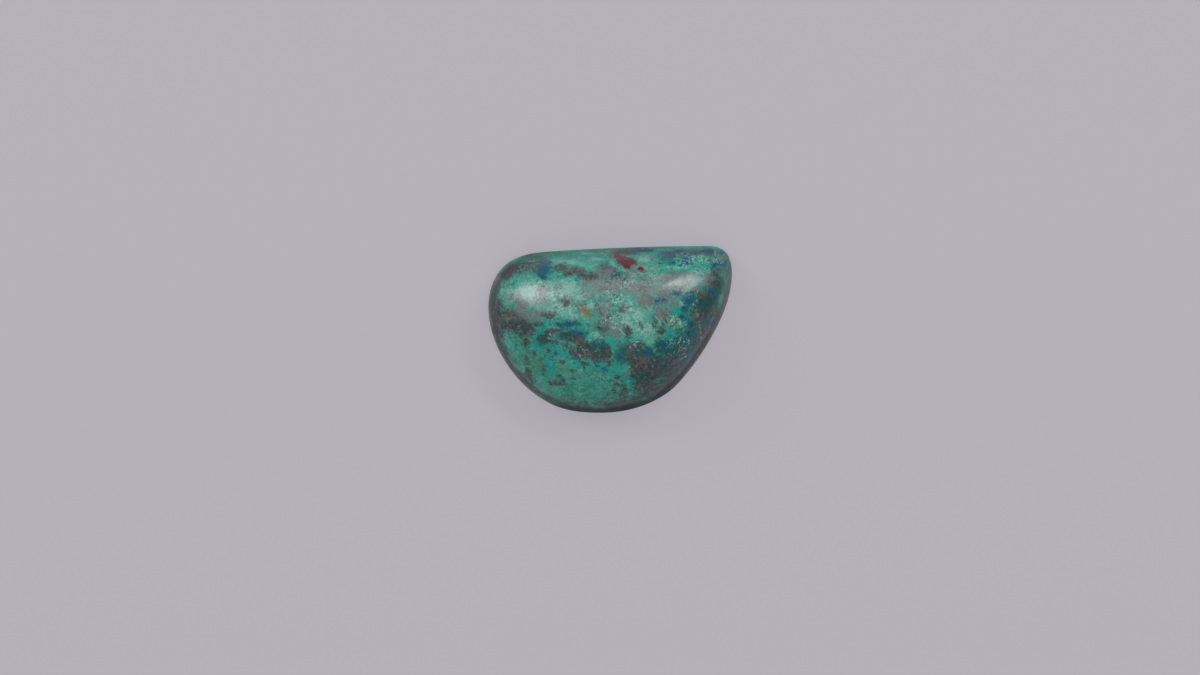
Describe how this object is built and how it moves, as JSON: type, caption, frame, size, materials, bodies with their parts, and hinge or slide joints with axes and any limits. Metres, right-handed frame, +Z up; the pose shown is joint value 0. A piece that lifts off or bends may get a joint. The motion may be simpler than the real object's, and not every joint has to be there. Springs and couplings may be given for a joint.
{
  "type": "azurite cabochon",
  "caption": "Polished freeform cabochon of azurite with green copper minerals and brown matrix: domed face, low girdle and a flat back that it lies on.",
  "frame": {"origin": "middle of the outline's box, on the surface that the flat back rests on", "axes": "+X along the stone's long side, +Y towards its straighter edge, +Z up out of the dome"},
  "size_m": [0.0162, 0.011, 0.0047],
  "materials": {
    "polished_stone": "polished, mottled green, blue and brown"
  },
  "bodies": {
    "root": {"stone": "polished_stone"}
  },
  "joints": []
}
